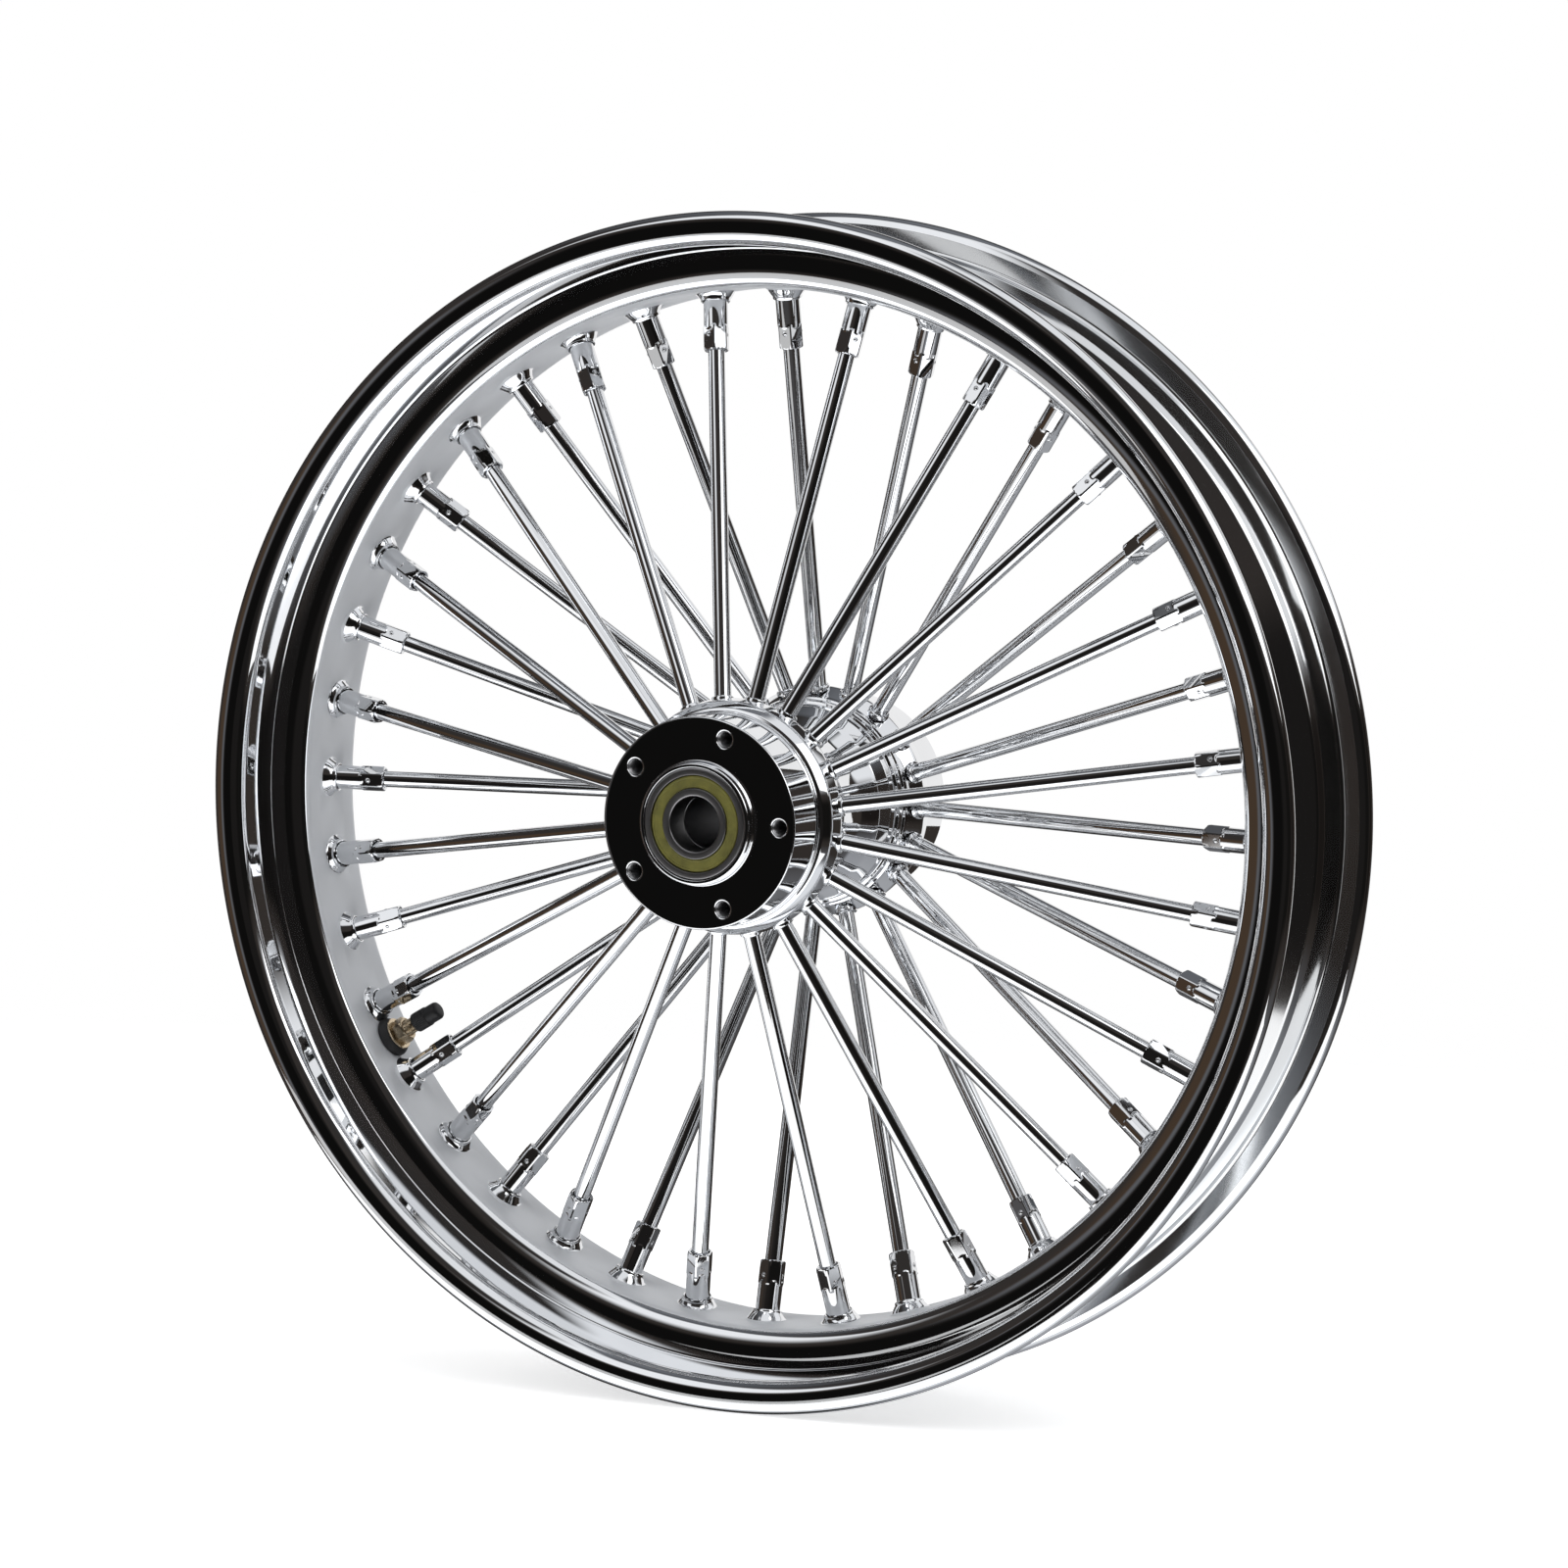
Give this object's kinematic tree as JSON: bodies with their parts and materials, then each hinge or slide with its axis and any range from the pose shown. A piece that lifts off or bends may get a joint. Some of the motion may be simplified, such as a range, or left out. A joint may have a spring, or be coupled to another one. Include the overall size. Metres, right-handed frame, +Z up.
{
  "type": "spoked motorcycle wheel",
  "caption": "Chromed steel wheel with straight radial fat spokes laced to a hub with a disc face on each side, sealed bearings and a tyre valve, for a front axle.",
  "frame": {"origin": "centre of the wheel, on the axle line, midway between the two rim lips", "axes": "+Y along the axle towards the rear side of the hub, +Z up, +X to the right as seen from the front side; the tyre valve is 210 degrees round from +X towards +Z"},
  "size_m": [0.561, 0.173, 0.561],
  "materials": {
    "rim_chrome": "bright chrome plate on rolled steel, satin grey in the well between the spokes",
    "hub_chrome": "bright chrome plate on a machined aluminium shell",
    "spoke_chrome": "bright chrome plate on steel spokes and nipples",
    "bearing_steel": "ground bearing steel, lightly oiled",
    "ball_steel": "polished bearing balls in a pressed steel cage",
    "seal_rubber": "matt olive moulded nitrile rubber over a steel washer",
    "spacer_steel": "turned steel tube",
    "valve_brass": "dull nickel-washed brass",
    "valve_rubber": "black moulded rubber",
    "valve_plastic": "black moulded plastic"
  },
  "bodies": {
    "axle_core": {"bearing_spacer_tube": "spacer_steel", "front_bearing_inner_ring": "bearing_steel", "rear_bearing_inner_ring": "bearing_steel"},
    "wheel": {"rim": "rim_chrome", "hub_body": "hub_chrome", "spoke_front_01": "spoke_chrome", "spoke_front_02": "spoke_chrome", "spoke_front_03": "spoke_chrome", "spoke_front_04": "spoke_chrome", "spoke_front_05": "spoke_chrome", "spoke_front_06": "spoke_chrome", "spoke_front_07": "spoke_chrome", "spoke_front_08": "spoke_chrome", "spoke_front_09": "spoke_chrome", "spoke_front_10": "spoke_chrome", "spoke_front_11": "spoke_chrome", "spoke_front_12": "spoke_chrome", "spoke_front_13": "spoke_chrome", "spoke_front_14": "spoke_chrome", "spoke_front_15": "spoke_chrome", "spoke_front_16": "spoke_chrome", "spoke_front_17": "spoke_chrome", "spoke_front_18": "spoke_chrome", "spoke_front_19": "spoke_chrome", "spoke_front_20": "spoke_chrome", "spoke_rear_01": "spoke_chrome", "spoke_rear_02": "spoke_chrome", "spoke_rear_03": "spoke_chrome", "spoke_rear_04": "spoke_chrome", "spoke_rear_05": "spoke_chrome", "spoke_rear_06": "spoke_chrome", "spoke_rear_07": "spoke_chrome", "spoke_rear_08": "spoke_chrome", "spoke_rear_09": "spoke_chrome", "spoke_rear_10": "spoke_chrome", "spoke_rear_11": "spoke_chrome", "spoke_rear_12": "spoke_chrome", "spoke_rear_13": "spoke_chrome", "spoke_rear_14": "spoke_chrome", "spoke_rear_15": "spoke_chrome", "spoke_rear_16": "spoke_chrome", "spoke_rear_17": "spoke_chrome", "spoke_rear_18": "spoke_chrome", "spoke_rear_19": "spoke_chrome", "spoke_rear_20": "spoke_chrome", "front_bearing_outer_ring": "bearing_steel", "front_bearing_outer_seal": "seal_rubber", "front_bearing_inner_seal": "seal_rubber", "rear_bearing_outer_ring": "bearing_steel", "rear_bearing_outer_seal": "seal_rubber", "rear_bearing_inner_seal": "seal_rubber", "valve_grommet": "valve_rubber", "valve_stem": "valve_brass", "valve_nut": "valve_brass", "valve_core": "valve_brass"},
    "front_balls": {"front_bearing_ball_set": "ball_steel"},
    "rear_balls": {"rear_bearing_ball_set": "ball_steel"},
    "valve_cap": {"valve_cap": "valve_plastic"},
    "valve_pin": {"valve_core_pin": "valve_brass"}
  },
  "joints": [
    {"name": "wheel_spin", "type": "hinge", "parent": "axle_core", "child": "wheel", "pos_m": [0, 0, 0], "axis": [0, 1, 0], "continuous": true},
    {"name": "front_balls_roll", "type": "hinge", "parent": "axle_core", "child": "front_balls", "pos_m": [0, 0, 0], "axis": [0, 1, 0], "continuous": true},
    {"name": "rear_balls_roll", "type": "hinge", "parent": "axle_core", "child": "rear_balls", "pos_m": [0, 0, 0], "axis": [0, 1, 0], "continuous": true},
    {"name": "valve_cap_off", "type": "slide", "parent": "wheel", "child": "valve_cap", "axis": [0.866, 0, 0.5], "range_m": [0, 0.0125]},
    {"name": "valve_pin_press", "type": "slide", "parent": "wheel", "child": "valve_pin", "axis": [-0.866, 0, -0.5], "range_m": [0, 0.0012], "stiffness_N_per_m": 800, "springref_m": -0.002}
  ],
  "couplings": [
    {"joint": "front_balls_roll", "follows": "wheel_spin", "ratio": 0.6031},
    {"joint": "rear_balls_roll", "follows": "wheel_spin", "ratio": 0.6031}
  ]
}
